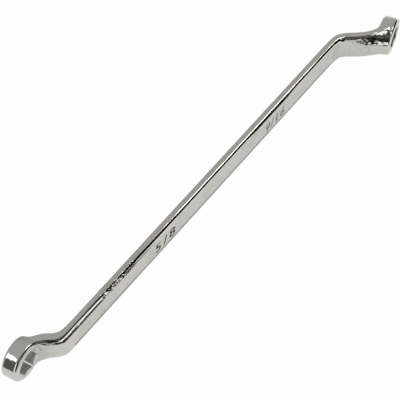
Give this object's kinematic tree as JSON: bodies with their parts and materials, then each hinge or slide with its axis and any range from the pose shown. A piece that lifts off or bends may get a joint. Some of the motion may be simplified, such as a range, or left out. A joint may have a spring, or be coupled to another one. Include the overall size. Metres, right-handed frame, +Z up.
{
  "type": "drain plug wrench",
  "caption": "Long flat steel wrench, cranked to opposite sides at its ends, with a closed hexagon ring at each end for turning drain plugs.",
  "frame": {"origin": "under the middle of the part's box, on the surface that the wrench lies on", "axes": "+X along the shank towards the 9/16 in ring, +Y to the side that the 5/8 in ring is cranked to, +Z up, square to the bends"},
  "size_m": [0.3794, 0.054, 0.0273],
  "materials": {
    "ring_5_8": "bright chrome over forged steel, socket in plain satin",
    "neck_5_8": "bright chrome over forged steel",
    "shank": "bright chrome over forged steel",
    "neck_9_16": "bright chrome over forged steel",
    "ring_9_16": "bright chrome over forged steel, socket in plain satin"
  },
  "bodies": {
    "root": {"ring_5_8": "ring_5_8", "neck_5_8": "neck_5_8", "shank": "shank", "neck_9_16": "neck_9_16", "ring_9_16": "ring_9_16"}
  },
  "joints": []
}
